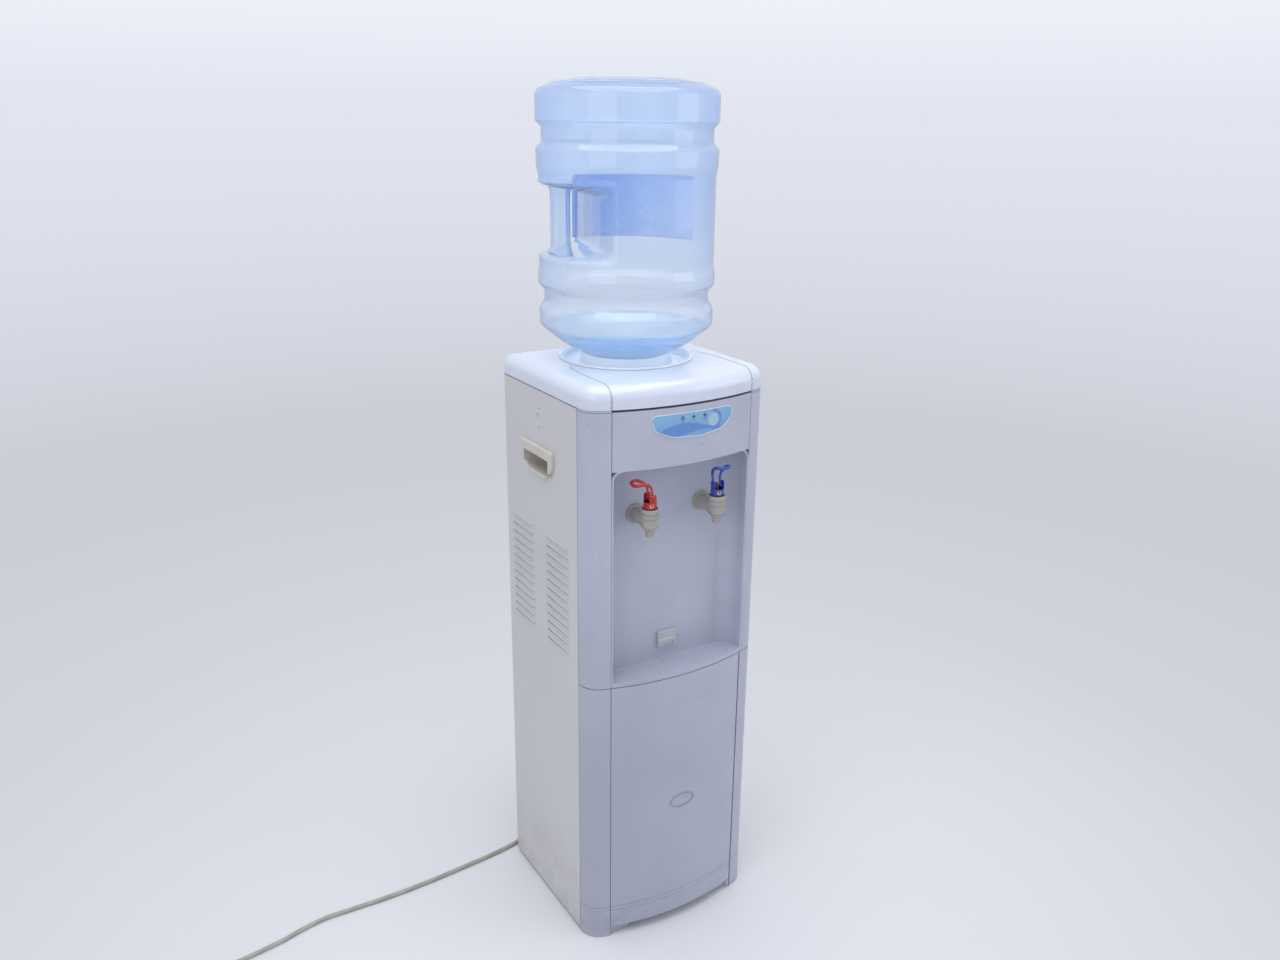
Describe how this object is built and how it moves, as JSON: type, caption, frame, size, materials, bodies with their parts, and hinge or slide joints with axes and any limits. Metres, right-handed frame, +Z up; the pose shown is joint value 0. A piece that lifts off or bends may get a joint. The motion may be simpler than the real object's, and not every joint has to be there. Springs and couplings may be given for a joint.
{
  "type": "water dispenser",
  "caption": "Floor-standing bottle-top water dispenser with a bowed front, a tap niche, hot and cold lever taps, a storage door, a clear blue bottle and a power cord",
  "frame": {"origin": "on the floor, under the middle of the dispenser's outer box without its cord", "axes": "+Z up; the bowed front with the taps faces -Y; +X is on the right of someone who faces the front"},
  "size_m": [0.9634, 0.3827, 1.345],
  "materials": {
    "sheet_steel": "powder coated warm grey sheet",
    "front_plastic": "satin bluish grey moulding",
    "cover_plastic": "glossy off-white moulding",
    "white_plastic": "plain white moulding",
    "cream_plastic": "cream moulding",
    "tap_plastic": "beige grey moulding",
    "red_plastic": "glossy red moulding",
    "blue_plastic": "glossy blue moulding",
    "bottle_clear": "clear blue tinted polycarbonate",
    "label_film": "pale blue printed film",
    "stainless": "bright drawn stainless",
    "zinc_steel": "galvanised sheet",
    "foam": "moulded foam",
    "black_plastic": "black moulding",
    "black_rubber": "moulded rubber",
    "silicone": "translucent silicone",
    "alloy": "extruded alloy",
    "board_green": "printed board",
    "cord_jacket": "beige grey flexible jacket"
  },
  "bodies": {
    "cabinet": {"left_side_panel": "sheet_steel", "right_side_panel": "sheet_steel", "back_panel": "sheet_steel", "base_plate": "zinc_steel", "feet": "black_rubber", "top_cover": "cover_plastic", "upper_front_panel": "front_plastic", "left_upper_pillar": "front_plastic", "right_upper_pillar": "front_plastic", "lower_front_frame": "front_plastic", "display_panel": "label_film", "indicator_lenses": "white_plastic", "drip_tray_clip": "cream_plastic", "bottle_seat": "white_plastic", "feed_probe": "white_plastic", "cold_tank": "stainless", "cold_tank_insulation": "foam", "hot_tank": "stainless", "hot_tank_insulation": "foam", "tank_shelf": "zinc_steel", "machine_tray": "zinc_steel", "hot_feed_tube": "silicone", "cold_outlet_tube": "silicone", "hot_outlet_tube": "silicone", "cooling_module": "alloy", "heat_sink": "alloy", "fan_frame": "black_plastic", "control_board": "board_green", "power_supply": "zinc_steel", "storage_liner": "white_plastic", "door_catch": "white_plastic", "hinge_pins": "zinc_steel", "hot_tap_body": "tap_plastic", "cold_tap_body": "tap_plastic", "tap_nuts": "white_plastic", "side_handles": "cream_plastic", "switch_housing": "black_plastic", "drain_outlet": "white_plastic", "strain_relief": "cord_jacket", "power_cord": "cord_jacket", "cord_coil": "cord_jacket", "power_plug": "cord_jacket", "panel_screws": "zinc_steel"},
    "bottle": {"bottle": "bottle_clear", "bottle_cap": "cream_plastic"},
    "door": {"door_panel": "front_plastic", "door_inner": "white_plastic", "door_badge": "front_plastic"},
    "hot_head": {"hot_tap_cap": "red_plastic"},
    "hot_lever": {"hot_tap_lever": "red_plastic"},
    "hot_valve": {"hot_tap_stem": "white_plastic", "hot_tap_seal": "silicone"},
    "cold_head": {"cold_tap_cap": "blue_plastic"},
    "cold_lever": {"cold_tap_lever": "blue_plastic"},
    "cold_valve": {"cold_tap_stem": "white_plastic", "cold_tap_seal": "silicone"},
    "hot_rocker": {"hot_switch": "red_plastic"},
    "cold_rocker": {"cold_switch": "board_green"},
    "fan": {"fan_rotor": "black_plastic"},
    "drain_plug": {"drain_cap": "white_plastic"}
  },
  "joints": [
    {"name": "bottle_lift", "type": "slide", "parent": "cabinet", "child": "bottle", "axis": [0, 0, 1], "range_m": [0, 0.15]},
    {"name": "door_swing", "type": "hinge", "parent": "cabinet", "child": "door", "pos_m": [0.1162, -0.13556, 0.24], "axis": [0, 0, 1], "range_deg": [0, 90]},
    {"name": "hot_head_turn", "type": "hinge", "parent": "cabinet", "child": "hot_head", "pos_m": [-0.06, -0.144, 0.752], "axis": [0, 0, 1], "range_deg": [0, 180]},
    {"name": "cold_head_turn", "type": "hinge", "parent": "cabinet", "child": "cold_head", "pos_m": [0.06, -0.144, 0.752], "axis": [0, 0, 1], "range_deg": [-90, 90]},
    {"name": "hot_lever_press", "type": "hinge", "parent": "hot_head", "child": "hot_lever", "pos_m": [-0.06, -0.144, 0.7635], "axis": [0, -1, 0], "range_deg": [0, 25]},
    {"name": "cold_lever_press", "type": "hinge", "parent": "cold_head", "child": "cold_lever", "pos_m": [0.06, -0.144, 0.7635], "axis": [1, 0, 0], "range_deg": [0, 35]},
    {"name": "hot_valve_rise", "type": "slide", "parent": "hot_head", "child": "hot_valve", "axis": [0, 0, 1], "range_m": [0, 0.0018], "stiffness_N_per_m": 1500, "springref_m": -0.004},
    {"name": "cold_valve_rise", "type": "slide", "parent": "cold_head", "child": "cold_valve", "axis": [0, 0, 1], "range_m": [0, 0.0014], "stiffness_N_per_m": 1500, "springref_m": -0.004},
    {"name": "hot_switch_rock", "type": "hinge", "parent": "cabinet", "child": "hot_rocker", "pos_m": [0.084, 0.1392, 0.83], "axis": [1, 0, 0], "range_deg": [-9, 9]},
    {"name": "cold_switch_rock", "type": "hinge", "parent": "cabinet", "child": "cold_rocker", "pos_m": [0.106, 0.1392, 0.83], "axis": [1, 0, 0], "range_deg": [-9, 9]},
    {"name": "fan_spin", "type": "hinge", "parent": "cabinet", "child": "fan", "pos_m": [0, 0.126, 0.745], "axis": [0, 1, 0], "continuous": true},
    {"name": "drain_cap_pull", "type": "slide", "parent": "cabinet", "child": "drain_plug", "axis": [0, 1, 0], "range_m": [0, 0.03]}
  ],
  "couplings": [
    {"joint": "hot_lever_press", "follows": "hot_valve_rise", "rad_per_m": 242.4},
    {"joint": "cold_lever_press", "follows": "cold_valve_rise", "rad_per_m": 436.3}
  ]
}
